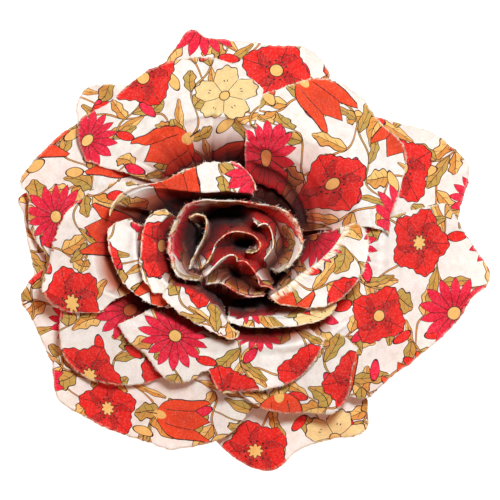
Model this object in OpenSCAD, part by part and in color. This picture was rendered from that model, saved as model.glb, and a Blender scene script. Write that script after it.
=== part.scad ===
// Rose of printed cotton on a felt disc, with a straight needle behind it.
// It lies on its back: +Z is out of the flower's face, z = 0 is the surface under the petal tips.

/* [Flower] */
// Width that the petal outlines are drawn for, from petal tip to petal tip
flower_w = 110; // [96:1:124]
// Height of the highest rims above the surface
flower_h = 36; // [34:0.5:42]
// Fall of a petal from the flower's axis out to its tip
droop_h = 24; // [20:0.5:26]
// Thickness of the stiffened cloth
petal_t = 1; // [0.8:0.05:1.1]
// Gap between the felt and what is sewn to it
seat_gap = 0.2; // [0.1:0.05:0.3]

/* [Backing] */
// Radius of the felt disc
felt_r = 25; // [23:0.5:27]
// Thickness of the felt disc
felt_t = 2; // [1:0.1:3]
// Radius of the rounded edge of the felt disc
felt_edge_r = 0.6; // [0.2:0.1:0.9]

/* [Pin] */
// Diameter of the needle wire
needle_d = 1.2; // [0.8:0.1:1.4]
// Length of the straight wire, without its point
needle_l = 36; // [30:1:40]
// Length of the ground point
point_l = 4; // [3:0.5:6]
// Height of the needle's axis above the surface
needle_z = 1.9; // [1.5:0.1:2.2]
// Radius of the bend between post and needle
bend_r = 2.2; // [1.8:0.1:2.6]
// Radius of the round pad under the felt
pad_r = 7; // [5:0.5:9]
// Thickness of the pad
pad_t = 0.8; // [0.6:0.1:1]
// Height between the bend and the pad
post_l = 0.6; // [0.4:0.1:1.2]
// Direction that the needle points in, anticlockwise from +X
needle_az = -24; // [-32:1:-16]
// Distance of the post from the flower's axis
post_off = 15; // [12:0.5:16]

/* [Hidden] */

flower_r = flower_w / 2;
pad_top = needle_z + bend_r + post_l + pad_t;
felt_z = pad_top + seat_gap;
felt_top = felt_z + felt_t;
base_z = felt_top + seat_gap;
// The fall follows a cosine that is level again at this radius, and starts late by this power
droop_r = 1.09 * flower_r;
droop_power = 1.3;
// The axis of the whorls stands off the middle of the outline
axis_x = -0.0336 * flower_w;
axis_y = 0.0095 * flower_w;
// How sharply the inner wall of a petal turns over into its crest
wall_power = 1.8;
// Steps of the wall, steps of the lip, and columns for each section of the table
wall_steps = 5;
lip_steps = 3;
cols_per_section = 1.5;
// Steps up the wall of a heart petal
core_steps = 5;

// Columns of a whorl: base radius as a share of felt_r, height as a share of flower_h.
// A petal of the back whorl takes its height from its own tip, which touches the surface.
WHORL = [
    ["inner", 0.44, 1.000],
    ["outer", 0.52, 0.945],
    ["third", 0.60, 0.900],
    ["lower", 0.68, 0.845],
    ["second", 0.77, 0.785],
    ["back", 0.865, 0]
];

// Columns of a petal: name, whorl, rise of its first and last side as a share of flower_h,
// azimuth of its base at the first and last side, and its sections. Columns of a section:
// azimuth of the cut edge, crest radius, edge radius and lift of the ruffled edge, the last three
// as percent of flower_r.
PETAL = [
    ["mid_top", "inner", 0, 0, 76, 150,
        [[70, 23, 27, 0], [88, 22.5, 34, 1], [104, 23.5, 36, 0], [123, 26, 38, 2], [139, 33, 41, 0],
         [153, 45, 51, 1.5], [166, 53, 57, 1]]],
    ["mid_left", "inner", 0.01, -0.01, 156, 202,
        [[153, 32, 36, 0], [166, 34, 39, 0], [180, 34, 39.5, 1.5], [194, 34, 41, 0],
         [206, 34, 40, 1.5], [214, 33, 37, 0]]],
    ["mid_outer", "outer", -0.03, 0, 170, 222,
        [[166, 43, 52, 0], [174, 42, 54, 1], [182, 42, 53, 3], [193, 41, 51, 0], [204, 40, 47.5, 2],
         [216, 36, 42, 0], [226, 33, 36, 0]]],
    ["mid_corner", "inner", 0.05, -0.01, 208, 246,
        [[211, 33, 37, 0], [221, 28.5, 37, 2], [235, 25.5, 36, 0], [250, 26, 36.5, 2],
         [262, 28, 38, 0], [272, 33, 40.5, 2]]],
    ["mid_right", "inner", -0.01, -0.02, 302, 368,
        [[305, 28, 30, 0], [313, 28, 34, 0], [325, 29, 44, 1], [338, 31, 50.5, 0], [352, 37, 54, 3],
         [362, 43, 55, 0], [371, 49, 54, 2]]],
    ["mid_lip", "outer", -0.03, -0.03, 264, 308,
        [[262, 31, 32, 0], [272, 31, 33, 0], [285, 31, 35, 1], [297, 32, 38, 0], [308, 35, 42, 2],
         [320, 40, 47, 0], [332, 44, 51, 0]]],
    ["left_upper", "third", 0, 0, 152, 198,
        [[148, 44, 51, 0], [157, 52, 63, 0], [167, 57, 71, 1], [176, 60, 76, 3], [185, 60, 79, 0],
         [193, 60, 83.5, 4], [200, 59, 78, 1], [206, 54, 64, 0]]],
    ["left_lower", "lower", 0, 0, 202, 240,
        [[197, 60, 76, 0], [205, 60, 82, 1], [213, 59, 86, 3], [221, 56, 84, 0], [229, 52, 77, 2],
         [237, 48, 68, 0], [244, 44, 58, 0]]],
    ["front_lip", "third", 0, 0, 222, 308,
        [[213, 47, 59, 0], [221, 43, 60, 2], [230, 41, 59, 0], [240, 40, 62.5, 3], [249, 39.5, 61, 1],
         [257, 39.5, 53.5, 0], [264, 39.5, 61, 3], [274, 40, 60.5, 0], [285, 42, 61, 3],
         [295, 45, 61, 0], [304, 48, 58, 1], [314, 50, 53, 0]]],
    ["front_under", "lower", 0, 0, 274, 318,
        [[270, 46, 60, 0], [277, 47, 67, 0], [285, 47, 72.5, 2], [293, 48, 76.5, 0], [300, 50, 81, 3],
         [306, 52, 79, 0], [313, 53, 71, 1], [320, 54, 66, 0]]],
    ["upper_left", "second", 0.075, 0.03, 94, 136,
        [[80, 50, 66, 0], [86, 52, 71, 1], [92, 54, 77, 3], [101, 56, 80.5, 0], [111, 57, 82.5, 3],
         [121, 58, 82, 0], [131, 58, 80.5, 3], [142, 58, 84, 1], [151, 56, 72, 0]]],
    ["upper_right", "inner", -0.24, -0.17, 72, 20,
        [[88, 46, 60, 0], [80, 48, 65, 0], [72, 50, 71, 2], [64, 52, 78.5, 0], [56, 54, 81.5, 3],
         [49, 56, 81.5, 0], [41, 57, 79.5, 3], [30, 58, 82, 0], [20, 58, 73, 2], [12, 57, 66, 0],
         [5, 56, 64, 1]]],
    ["right_big", "second", 0, -0.01, 310, 368,
        [[305, 52, 74, 0], [310, 53, 84, 1], [317, 54, 84.5, 3], [325, 56, 87.5, 0], [334, 58, 93, 3],
         [342, 59, 99, 0], [347, 60, 101, 2], [353, 60, 108, 4], [360, 60, 100, 0],
         [366, 60, 94.5, 0], [372, 60, 90, 0]]],
    ["far_left", "second", -0.02, 0, 143, 186,
        [[138, 62, 82, 0], [146, 62, 87, 0], [154, 63, 91, 2], [163, 63, 95.5, 0], [167, 63, 90, 3],
         [174, 62, 88, 0], [181, 61, 82, 0], [188, 58, 72, 0]]],
    ["lower_left", "second", 0, 0.01, 218, 268,
        [[212, 62, 91, 0], [220, 62, 99, 3], [227, 61, 97, 0], [235, 60, 94, 4], [244, 58, 91, 0],
         [252, 56, 90, 4], [260, 55, 85, 0], [267, 54, 80, 1], [272, 53, 73, 0], [276, 52, 68, 0]]],
    ["back_top", "back", 0.02, 0, 62, 112,
        [[58, 62, 78, 0], [65, 64, 86, 2], [71, 64, 89, 0], [78, 64, 86.5, 2], [86, 64, 86.5, 0],
         [93, 64, 87.5, 1], [98, 64, 89, 3], [102, 64, 93.5, 6], [108, 64, 87, 3], [116, 62, 78, 0]]],
    ["back_corner", "back", 0.02, 0, 118, 146,
        [[118, 62, 80, 0], [124, 62, 82, 1], [129, 63, 88, 4], [133, 64, 92, 1], [138, 64, 90.5, 3],
         [142, 63, 85, 0], [148, 60, 76, 0]]],
    ["back_left", "back", 0.01, 0, 160, 188,
        [[160, 62, 84, 0], [165, 64, 91, 2], [168, 64, 94.5, 4], [172, 64, 91, 0], [178, 64, 88.5, 2],
         [184, 63, 87, 0], [190, 62, 86, 0]]],
    ["back_lower_left", "back", 0.06, 0, 197, 224,
        [[187, 62, 83, 0], [191, 64, 91, 3], [194, 64, 94, 1], [199, 64, 92, 0], [206, 64, 91.5, 3],
         [213, 64, 92, 0], [222, 62, 86, 0]]],
    ["back_bottom", "back", 0, 0, 264, 308,
        [[259, 60, 76, 0], [265, 62, 84, 2], [270, 62, 90, 0], [276, 62, 95.5, 0], [281, 62, 95, 1],
         [287, 62, 90, 4], [295, 62, 90.5, 0], [301, 62, 94, 3], [305.5, 62, 95, 1], [309, 62, 88, 0],
         [313, 60, 78, 0]]],
    ["back_right", "back", 0, 0, 0, 46,
        [[-3, 62, 86, 0], [5, 64, 93, 3], [11, 64, 97, 0], [17, 65, 103, 0], [21, 65, 103.5, 0],
         [26, 65, 99, 3], [31, 64, 94.5, 0], [37, 63, 86, 2], [44, 62, 79, 0], [50, 62, 76, 0]]]
];

// How late a wall of the heart bends from its place on the felt out to its rim
core_bow = 2.5;
// Where the lip of a heart petal starts to roll, as a share of its height
lip_start = 0.6;
// Columns of a heart petal: name, rim height at its first and last end as a share of flower_h, and
// its rows. Columns of a row: rim's place to the right of the axis, rim's place above it and width
// of the rolled lip, as percent of flower_r, then the place on the felt, as percent of felt_r.
CORE = [
    ["core_collar", 0.985, 0.97,
        [[-16, -14, 0, -28.5, -25], [-21.5, -13, 0.5, -32.5, -19.5], [-24, -9, 2, -35.5, -13.5],
         [-24.5, 0, 3.8, -38, 0], [-23.5, 8, 2.8, -36, 12], [-20, 15.5, 1.5, -30, 23.5],
         [-12, 18.5, 1, -20.5, 32], [-3, 17.5, 1.5, -8, 37], [5, 17, 1.5, 6, 37.5],
         [12, 16, 2, 19, 33], [18.5, 12.5, 3, 29, 24.5], [23, 7, 3.5, 35.5, 13.5],
         [24, 1, 3.5, 38, 2], [22.5, -5, 2.5, 37, -8], [18, -11, 0, 32.5, -19.5]]],
    ["core_scroll", 0.95, 0.9,
        [[-19, 9, 0, -29, 13], [-16.5, 12.5, 0, -25, 19.5], [-12.5, 11.5, 0, -20, 17.5],
         [-13, 6, 0, -21, 9], [-15.5, 0, 0, -24, 0], [-18, -5, 0, -27.5, -8],
         [-19.5, -9.5, 0, -29, -13.5]]],
    ["core_heart", 0.92, 0.96,
        [[-14.5, -8, 0, -22, -16], [-10.5, -4.5, 0, -20, -6.5], [-6.5, -0.5, 0, -16.5, 5],
         [-1.5, 2.2, 0, -11, 19], [3.5, 1.4, 0, 3, 27], [6.8, -0.8, 0, 16, 18.5], [7.5, -3.5, 0, 18, 1]]],
    ["core_front", 0.92, 0.94,
        [[-13, -12, 0, -21, -25], [-9.5, -8.5, 0, -17, -26], [-6, -5.5, 0, -11, -26],
         [-1, -4, 0, -3, -26], [4, -6.5, 0, 6, -26], [8, -11, 0, 14, -25.5],
         [11.5, -15, 0, 20, -23], [16, -17, 0, 25.5, -19]]],
    ["core_side", 0.97, 0.93,
        [[8, 11.5, 0, 15, 28], [12.5, 9, 0, 25, 19.5], [14.5, 4, 0, 31, 8], [14.5, -1, 0, 32, -3],
         [11.5, -5.5, 0, 27.5, -13]]],
    ["core_under", 0.88, 0.86,
        [[-12, -15.5, 0, -20, -32], [-7, -15, 0, -13, -34], [-2, -17, 0, -5, -36],
         [3, -19.5, 0, 4, -36.5], [7.5, -20.5, 0, 12, -35], [11.5, -20, 0, 19, -32]]]
];

// Interpolation through the rows of a table at t from 0 to 1, smooth at each row
function row(t, rows) = min(floor(t * (len(rows) - 1)), len(rows) - 2);
function spline(a, b, c, d, s) =
    0.5 * (2 * b + (c - a) * s + (2 * a - 5 * b + 4 * c - d) * s * s + (3 * b - 3 * c + d - a) * s * s * s);
function along(t, rows) =
    let (i = row(t, rows), last = len(rows) - 1)
    spline(
        i > 0 ? rows[i - 1] : 2 * rows[0] - rows[1], rows[i], rows[i + 1],
        i + 2 <= last ? rows[i + 2] : 2 * rows[last] - rows[last - 1], t * last - i
    );
function mix(a, b, t) = a + (b - a) * t;
function unit(v) = v / max(norm(v), 0.000001);
function find(name, table) = table[search([name], table)[0]];

// How far a petal has fallen at radius r
function fall(r) = droop_h / 2 * (1 - cos(180 * pow(min(r / droop_r, 1), droop_power)));

// Height of a back petal whose tip touches the surface
function resting(p) =
    fall(max([for (section = p[6]) section[2]]) / 100 * flower_r) + petal_t / 2;

// A point of a petal's middle surface: u runs round the flower, v from the base to the cut edge
function petal_point(p, u, v) =
    let (
        whorl = find(p[1], WHORL),
        section = along(u, p[6]),
        crest = section[1] / 100 * flower_r,
        edge = section[2] / 100 * flower_r,
        base = whorl[1] * felt_r,
        top = flower_h * (whorl[2] + mix(p[2], p[3], u)) + (p[1] == "back" ? resting(p) : 0),
        split = wall_steps / (wall_steps + lip_steps),
        s = min(v / split, 1),
        l = max((v - split) / (1 - split), 0),
        left = pow(1 - s, 0.7),
        r = v < split ? crest - (crest - base) * left : mix(crest, edge, l),
        wall = (top - fall(base) - base_z) * pow(left, wall_power),
        azimuth = mix(mix(p[4], p[5], u), section[0], pow(v, 0.8)),
        lift = max(section[3], 0) / 100 * flower_r * l * l
    )
    [r * cos(azimuth), r * sin(azimuth), top - fall(r) - wall + lift];

// A point of a heart petal's middle surface: u runs along its rim, v from the felt to the cut edge
function core_point(p, u, v) =
    let (
        place = along(u, p[3]) / 100,
        rim = [place[0], place[1]] * flower_r,
        seat = [place[3], place[4]] * felt_r,
        l = max((v - lip_start) / (1 - lip_start), 0),
        lip = max(place[2], 0) * flower_r * l * l,
        top = flower_h * mix(p[1], p[2], u),
        level = mix(seat, rim, pow(v, core_bow)) + unit(rim) * lip
    )
    [level[0], level[1], mix(base_z, top, v) - lip / 2];

function sheet_point(kind, p, u, v) = kind == "core" ? core_point(p, u, v) : petal_point(p, u, v);

// Offset direction of the wall, level along the base so that the petal stands flat on the felt
function across(kind, p, u, v) =
    let (
        e = 0.002,
        du = sheet_point(kind, p, min(u + e, 1), v) - sheet_point(kind, p, max(u - e, 0), v),
        dv = sheet_point(kind, p, u, min(v + e, 1)) - sheet_point(kind, p, u, max(v - e, 0)),
        n = cross(du, dv)
    )
    unit(v == 0 ? [n[0], n[1], 0] : n);

// A sheet of the given thickness over a grid of columns and rows, closed all round
module sheet(kind, p, columns, rows) {
    count = (columns + 1) * (rows + 1);
    sides = [for (side = [0.5, -0.5]) for (i = [0:columns]) for (j = [0:rows])
        let (u = i / columns, v = j / rows)
        sheet_point(kind, p, u, v) + side * petal_t * across(kind, p, u, v)];
    function at(side, i, j) = side * count + i * (rows + 1) + j;
    faces = concat(
        [for (i = [0:columns - 1]) for (j = [0:rows - 1])
            each [[at(0, i, j), at(0, i, j + 1), at(0, i + 1, j + 1)],
                  [at(0, i, j), at(0, i + 1, j + 1), at(0, i + 1, j)],
                  [at(1, i, j), at(1, i + 1, j + 1), at(1, i, j + 1)],
                  [at(1, i, j), at(1, i + 1, j), at(1, i + 1, j + 1)]]],
        [for (i = [0:columns - 1]) each [[at(0, i, 0), at(0, i + 1, 0), at(1, i + 1, 0), at(1, i, 0)],
            [at(0, i + 1, rows), at(0, i, rows), at(1, i, rows), at(1, i + 1, rows)]]],
        [for (j = [0:rows - 1]) each [[at(0, 0, j + 1), at(0, 0, j), at(1, 0, j), at(1, 0, j + 1)],
            [at(0, columns, j), at(0, columns, j + 1), at(1, columns, j + 1), at(1, columns, j)]]]
    );
    polyhedron(sides, faces, convexity = 8);
}

module petal(name, tone) {
    p = find(name, PETAL);
    color(tone) translate([axis_x, axis_y, 0])
        sheet("petal", p, ceil((len(p[6]) - 1) * cols_per_section), wall_steps + lip_steps);
}

module core(name, tone) {
    p = find(name, CORE);
    color(tone) translate([axis_x, axis_y, 0])
        sheet("core", p, ceil((len(p[3]) - 1) * cols_per_section), core_steps);
}

module core_collar() { core("core_collar", "wheat"); }
module core_scroll() { core("core_scroll", "linen"); }
module core_heart() { core("core_heart", "orangered"); }
module core_front() { core("core_front", "firebrick"); }
module core_side() { core("core_side", "tomato"); }
module core_under() { core("core_under", "brown"); }
module mid_top() { petal("mid_top", "antiquewhite"); }
module mid_left() { petal("mid_left", "khaki"); }
module mid_outer() { petal("mid_outer", "linen"); }
module mid_corner() { petal("mid_corner", "goldenrod"); }
module mid_right() { petal("mid_right", "crimson"); }
module mid_lip() { petal("mid_lip", "deeppink"); }
module left_upper() { petal("left_upper", "seashell"); }
module left_lower() { petal("left_lower", "mistyrose"); }
module front_lip() { petal("front_lip", "indianred"); }
module front_under() { petal("front_under", "red"); }
module upper_left() { petal("upper_left", "ivory"); }
module upper_right() { petal("upper_right", "lightpink"); }
module right_big() { petal("right_big", "floralwhite"); }
module far_left() { petal("far_left", "coral"); }
module lower_left() { petal("lower_left", "oldlace"); }
module back_top() { petal("back_top", "salmon"); }
module back_corner() { petal("back_corner", "darkkhaki"); }
module back_left() { petal("back_left", "darksalmon"); }
module back_lower_left() { petal("back_lower_left", "darkred"); }
module back_bottom() { petal("back_bottom", "lightcoral"); }
module back_right() { petal("back_right", "burlywood"); }

// Felt disc with softened edges
module backing() {
    color("firebrick") translate([axis_x, axis_y, felt_z]) rotate_extrude($fn = 96)
        polygon([[0, 0], [felt_r - felt_edge_r, 0], [felt_r, felt_edge_r], [felt_r, felt_t - felt_edge_r],
                 [felt_r - felt_edge_r, felt_t], [0, felt_t]]);
}

// Pad, post, bend and straight needle with a ground point, one piece of steel
module pin() {
    color("silver") translate([axis_x, axis_y, 0]) rotate([0, 0, needle_az])
        translate([-post_off, 0, 0]) {
        translate([0, 0, needle_z + bend_r]) cylinder(d = needle_d, h = post_l + pad_t / 2, $fn = 32);
        translate([bend_r, 0, needle_z + bend_r]) rotate([90, 0, 0]) rotate([0, 0, 180])
            rotate_extrude(angle = 90, $fn = 48) translate([bend_r, 0]) circle(d = needle_d, $fn = 32);
        translate([bend_r, 0, needle_z]) rotate([0, 90, 0]) cylinder(d = needle_d, h = needle_l, $fn = 32);
        translate([bend_r + needle_l, 0, needle_z]) rotate([0, 90, 0])
            cylinder(d1 = needle_d, d2 = needle_d / 4, h = point_l, $fn = 32);
        translate([0, 0, pad_top - pad_t]) cylinder(r = pad_r, h = pad_t, $fn = 64);
    }
}

core_collar();
core_scroll();
core_heart();
core_front();
core_side();
core_under();
mid_top();
mid_left();
mid_outer();
mid_corner();
mid_right();
mid_lip();
left_upper();
left_lower();
front_lip();
front_under();
upper_left();
upper_right();
right_big();
far_left();
lower_left();
back_top();
back_corner();
back_left();
back_lower_left();
back_bottom();
back_right();
backing();
pin();
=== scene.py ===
"""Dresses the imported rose: fine cloth petals with a flower print, frayed cut edges, felt and steel."""

import math

import bpy
import numpy as np
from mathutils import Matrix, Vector


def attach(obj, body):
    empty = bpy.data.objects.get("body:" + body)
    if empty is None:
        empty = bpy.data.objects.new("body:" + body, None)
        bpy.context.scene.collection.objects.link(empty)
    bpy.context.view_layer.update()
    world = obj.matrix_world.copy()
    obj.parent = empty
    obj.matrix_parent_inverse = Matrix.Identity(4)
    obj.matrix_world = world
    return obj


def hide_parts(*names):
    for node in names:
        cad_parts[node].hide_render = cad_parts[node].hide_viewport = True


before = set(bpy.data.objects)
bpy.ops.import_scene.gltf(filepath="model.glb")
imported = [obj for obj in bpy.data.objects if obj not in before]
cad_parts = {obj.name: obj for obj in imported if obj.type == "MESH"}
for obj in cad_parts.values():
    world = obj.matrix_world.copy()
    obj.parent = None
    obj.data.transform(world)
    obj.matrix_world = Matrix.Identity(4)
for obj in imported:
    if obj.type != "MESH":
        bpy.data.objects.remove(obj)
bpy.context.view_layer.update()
scene = bpy.context.scene
MM = 0.001

# Lengths are in millimetres, apart from those of the stage and of the materials' bumps

# Sizes of the part, as in its source: width of its outline, height, fall of a petal from the axis to
# its tip, thickness of the solid sheets, radius of the felt and level of the petals' foot
FLOWER_W, FLOWER_H, DROOP_H, PETAL_T = 110.0, 36.0, 24.0, 1.0
FELT_R, BASE_Z = 25.0, 7.9
FLOWER_R = FLOWER_W / 2
# Radius at which the fall is level again, and the power by which it starts late
DROOP_R, DROOP_POWER = 1.09 * FLOWER_R, 1.3
# Place of the axis that the petals are wound round
AXIS = np.array([-0.0336 * FLOWER_W, 0.0095 * FLOWER_W, 0.0])
# Share of a petal's length that is its wall, and how steeply that wall falls
SPLIT, WALL_POWER = 5 / 8, 1.8
# Bow of a heart petal's wall, and the share of its length at which its lip starts
CORE_BOW, LIP_START = 2.5, 0.6

# Base radius as a share of FELT_R, height as a share of FLOWER_H
WHORL = {"inner": (0.44, 1.0), "outer": (0.52, 0.945), "third": (0.60, 0.900),
         "lower": (0.68, 0.845), "second": (0.77, 0.785), "back": (0.865, 0.0)}

# Columns of a petal: whorl, rise of its first and last side, azimuth of its base at both sides, and
# its sections: azimuth of the cut edge, crest, edge and lift of the ruffle as percent of FLOWER_R.
# The rows are the source's, but the bases of upper_left and upper_right reach closer to each other.
PETAL = {
    "mid_top": ("inner", 0, 0, 76, 150,
        [[70, 23, 27, 0], [88, 22.5, 34, 1], [104, 23.5, 36, 0], [123, 26, 38, 2], [139, 33, 41, 0],
         [153, 45, 51, 1.5], [166, 53, 57, 1]]),
    "mid_left": ("inner", 0.01, -0.01, 156, 202,
        [[153, 32, 36, 0], [166, 34, 39, 0], [180, 34, 39.5, 1.5], [194, 34, 41, 0],
         [206, 34, 40, 1.5], [214, 33, 37, 0]]),
    "mid_outer": ("outer", -0.03, 0, 170, 222,
        [[166, 43, 52, 0], [174, 42, 54, 1], [182, 42, 53, 3], [193, 41, 51, 0], [204, 40, 47.5, 2],
         [216, 36, 42, 0], [226, 33, 36, 0]]),
    "mid_corner": ("inner", 0.05, -0.01, 208, 246,
        [[211, 33, 37, 0], [221, 28.5, 37, 2], [235, 25.5, 36, 0], [250, 26, 36.5, 2],
         [262, 28, 38, 0], [272, 33, 40.5, 2]]),
    "mid_right": ("inner", -0.01, -0.02, 302, 368,
        [[305, 28, 30, 0], [313, 28, 34, 0], [325, 29, 44, 1], [338, 31, 50.5, 0], [352, 37, 54, 3],
         [362, 43, 55, 0], [371, 49, 54, 2]]),
    "mid_lip": ("outer", -0.03, -0.03, 264, 308,
        [[262, 31, 32, 0], [272, 31, 33, 0], [285, 31, 35, 1], [297, 32, 38, 0], [308, 35, 42, 2],
         [320, 40, 47, 0], [332, 44, 51, 0]]),
    "left_upper": ("third", 0, 0, 152, 198,
        [[148, 44, 51, 0], [157, 52, 63, 0], [167, 57, 71, 1], [176, 60, 76, 3], [185, 60, 79, 0],
         [193, 60, 83.5, 4], [200, 59, 78, 1], [206, 54, 64, 0]]),
    "left_lower": ("lower", 0, 0, 202, 240,
        [[197, 60, 76, 0], [205, 60, 82, 1], [213, 59, 86, 3], [221, 56, 84, 0], [229, 52, 77, 2],
         [237, 48, 68, 0], [244, 44, 58, 0]]),
    "front_lip": ("third", 0, 0, 222, 308,
        [[213, 47, 59, 0], [221, 43, 60, 2], [230, 41, 59, 0], [240, 40, 62.5, 3], [249, 39.5, 61, 1],
         [257, 39.5, 53.5, 0], [264, 39.5, 61, 3], [274, 40, 60.5, 0], [285, 42, 61, 3],
         [295, 45, 61, 0], [304, 48, 58, 1], [314, 50, 53, 0]]),
    "front_under": ("lower", 0, 0, 274, 318,
        [[270, 46, 60, 0], [277, 47, 67, 0], [285, 47, 72.5, 2], [293, 48, 76.5, 0], [300, 50, 81, 3],
         [306, 52, 79, 0], [313, 53, 71, 1], [320, 54, 66, 0]]),
    "upper_left": ("second", 0.075, 0.03, 84, 136,
        [[80, 50, 66, 0], [86, 52, 71, 1], [92, 54, 77, 3], [101, 56, 80.5, 0], [111, 57, 82.5, 3],
         [121, 58, 82, 0], [131, 58, 80.5, 3], [142, 58, 84, 1], [151, 56, 72, 0]]),
    "upper_right": ("inner", -0.24, -0.17, 80, 15,
        [[88, 46, 60, 0], [80, 48, 65, 0], [72, 50, 71, 2], [64, 52, 78.5, 0], [56, 54, 81.5, 3],
         [49, 56, 81.5, 0], [41, 57, 79.5, 3], [30, 58, 82, 0], [20, 58, 73, 2], [12, 57, 66, 0],
         [5, 56, 64, 1]]),
    "right_big": ("second", 0, -0.01, 310, 368,
        [[305, 52, 74, 0], [310, 53, 84, 1], [317, 54, 84.5, 3], [325, 56, 87.5, 0], [334, 58, 93, 3],
         [342, 59, 99, 0], [347, 60, 101, 2], [353, 60, 108, 4], [360, 60, 100, 0],
         [366, 60, 94.5, 0], [372, 60, 90, 0]]),
    "far_left": ("second", -0.02, 0, 143, 186,
        [[138, 62, 82, 0], [146, 62, 87, 0], [154, 63, 91, 2], [163, 63, 95.5, 0], [167, 63, 90, 3],
         [174, 62, 88, 0], [181, 61, 82, 0], [188, 58, 72, 0]]),
    "lower_left": ("second", 0, 0.01, 218, 268,
        [[212, 62, 91, 0], [220, 62, 99, 3], [227, 61, 97, 0], [235, 60, 94, 4], [244, 58, 91, 0],
         [252, 56, 90, 4], [260, 55, 85, 0], [267, 54, 80, 1], [272, 53, 73, 0], [276, 52, 68, 0]]),
    "back_top": ("back", 0.02, 0, 62, 112,
        [[58, 62, 78, 0], [65, 64, 86, 2], [71, 64, 89, 0], [78, 64, 86.5, 2], [86, 64, 86.5, 0],
         [93, 64, 87.5, 1], [98, 64, 89, 3], [102, 64, 93.5, 6], [108, 64, 87, 3], [116, 62, 78, 0]]),
    "back_corner": ("back", 0.02, 0, 118, 146,
        [[118, 62, 80, 0], [124, 62, 82, 1], [129, 63, 88, 4], [133, 64, 92, 1], [138, 64, 90.5, 3],
         [142, 63, 85, 0], [148, 60, 76, 0]]),
    "back_left": ("back", 0.01, 0, 160, 188,
        [[160, 62, 84, 0], [165, 64, 91, 2], [168, 64, 94.5, 4], [172, 64, 91, 0], [178, 64, 88.5, 2],
         [184, 63, 87, 0], [190, 62, 86, 0]]),
    "back_lower_left": ("back", 0.06, 0, 197, 224,
        [[187, 62, 83, 0], [191, 64, 91, 3], [194, 64, 94, 1], [199, 64, 92, 0], [206, 64, 91.5, 3],
         [213, 64, 92, 0], [222, 62, 86, 0]]),
    "back_bottom": ("back", 0, 0, 264, 308,
        [[259, 60, 76, 0], [265, 62, 84, 2], [270, 62, 90, 0], [276, 62, 95.5, 0], [281, 62, 95, 1],
         [287, 62, 90, 4], [295, 62, 90.5, 0], [301, 62, 94, 3], [305.5, 62, 95, 1], [309, 62, 88, 0],
         [313, 60, 78, 0]]),
    "back_right": ("back", 0, 0, 0, 46,
        [[-3, 62, 86, 0], [5, 64, 93, 3], [11, 64, 97, 0], [17, 65, 103, 0], [21, 65, 103.5, 0],
         [26, 65, 99, 3], [31, 64, 94.5, 0], [37, 63, 86, 2], [44, 62, 79, 0], [50, 62, 76, 0]]),
}

# Columns of a heart petal: rim height at both ends as a share of FLOWER_H, and its rows: the rim's
# place and the width of its lip as percent of FLOWER_R, then the place on the felt as percent of FELT_R.
# The rows are the source's, but core_heart curls wider and core_scroll starts further in.
CORE = {
    "core_collar": (0.985, 0.97,
        [[-16, -14, 0, -28.5, -25], [-21.5, -13, 0.5, -32.5, -19.5], [-24, -9, 2, -35.5, -13.5],
         [-24.5, 0, 3.8, -38, 0], [-23.5, 8, 2.8, -36, 12], [-20, 15.5, 1.5, -30, 23.5],
         [-12, 18.5, 1, -20.5, 32], [-3, 17.5, 1.5, -8, 37], [5, 17, 1.5, 6, 37.5],
         [12, 16, 2, 19, 33], [18.5, 12.5, 3, 29, 24.5], [23, 7, 3.5, 35.5, 13.5],
         [24, 1, 3.5, 38, 2], [22.5, -5, 2.5, 37, -8], [18, -11, 0, 32.5, -19.5]]),
    "core_scroll": (0.95, 0.9,
        [[-19.8, 12.2, 0, -29, 15], [-16.5, 13.5, 0, -25, 19.5], [-12.5, 11.5, 0, -20, 17.5],
         [-13, 6, 0, -21, 9], [-15.5, 0, 0, -24, 0], [-18, -5, 0, -27.5, -8],
         [-19.5, -9.5, 0, -29, -13.5]]),
    "core_heart": (0.92, 0.96,
        [[-15.5, -9, 0, -22, -16], [-11, -3.8, 0.3, -20, -6.5], [-7, 0.9, 1.5, -16.5, 5],
         [-2, 3.2, 2.6, -11, 19], [3.5, 3.2, 3, 3, 27], [7.4, 1.2, 2.4, 16, 18.5],
         [8.6, -1.4, 1, 18, 8], [7, -3.4, 0, 17, 1], [4, -2.8, 0, 14, 0]]),
    "core_front": (0.92, 0.94,
        [[-13, -12, 0, -21, -25], [-9.5, -8.5, 0, -17, -26], [-6, -5.5, 0, -11, -26],
         [-1, -4, 0, -3, -26], [4, -6.5, 0, 6, -26], [8, -11, 0, 14, -25.5],
         [11.5, -15, 0, 20, -23], [16, -17, 0, 25.5, -19]]),
    "core_side": (0.97, 0.93,
        [[8, 11.5, 0, 15, 28], [12.5, 9, 0, 25, 19.5], [14.5, 4, 0, 31, 8], [14.5, -1, 0, 32, -3],
         [11.5, -5.5, 0, 27.5, -13]]),
    "core_under": (0.88, 0.86,
        [[-12, -15.5, 0, -20, -32], [-7, -15, 0, -13, -34], [-2, -17, 0, -5, -36],
         [3, -19.5, 0, 4, -36.5], [7.5, -20.5, 0, 12, -35], [11.5, -20, 0, 19, -32]]),
}

# Thickness of the cloth, size of its mesh cells, and their share of that size on fine petals
CLOTH_T, STEP, FINE = 0.28, 0.62, 0.7
# How much deeper than in the source the cloth falls away just inside its crest
WALL_DIP = 2.0
# Share of its width in which a lip of the inner whorls is rounded at each side, and how deeply
CORNER, CORNER_CUT = 0.14, 0.9
# Share of a full turn that a petal's cone takes up when its cloth lies flat
FAN = 0.88
# Heights of the small folds: a broad swell, soft folds out along the petal and round the flower, a
# ripple, and sharp creases out and round
SWELL, SOFT_OUT, SOFT_ROUND, RIPPLE, CREASE_OUT, CREASE_ROUND = 0.2, 0.18, 0.2, 0.09, 0.45, 0.5
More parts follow.
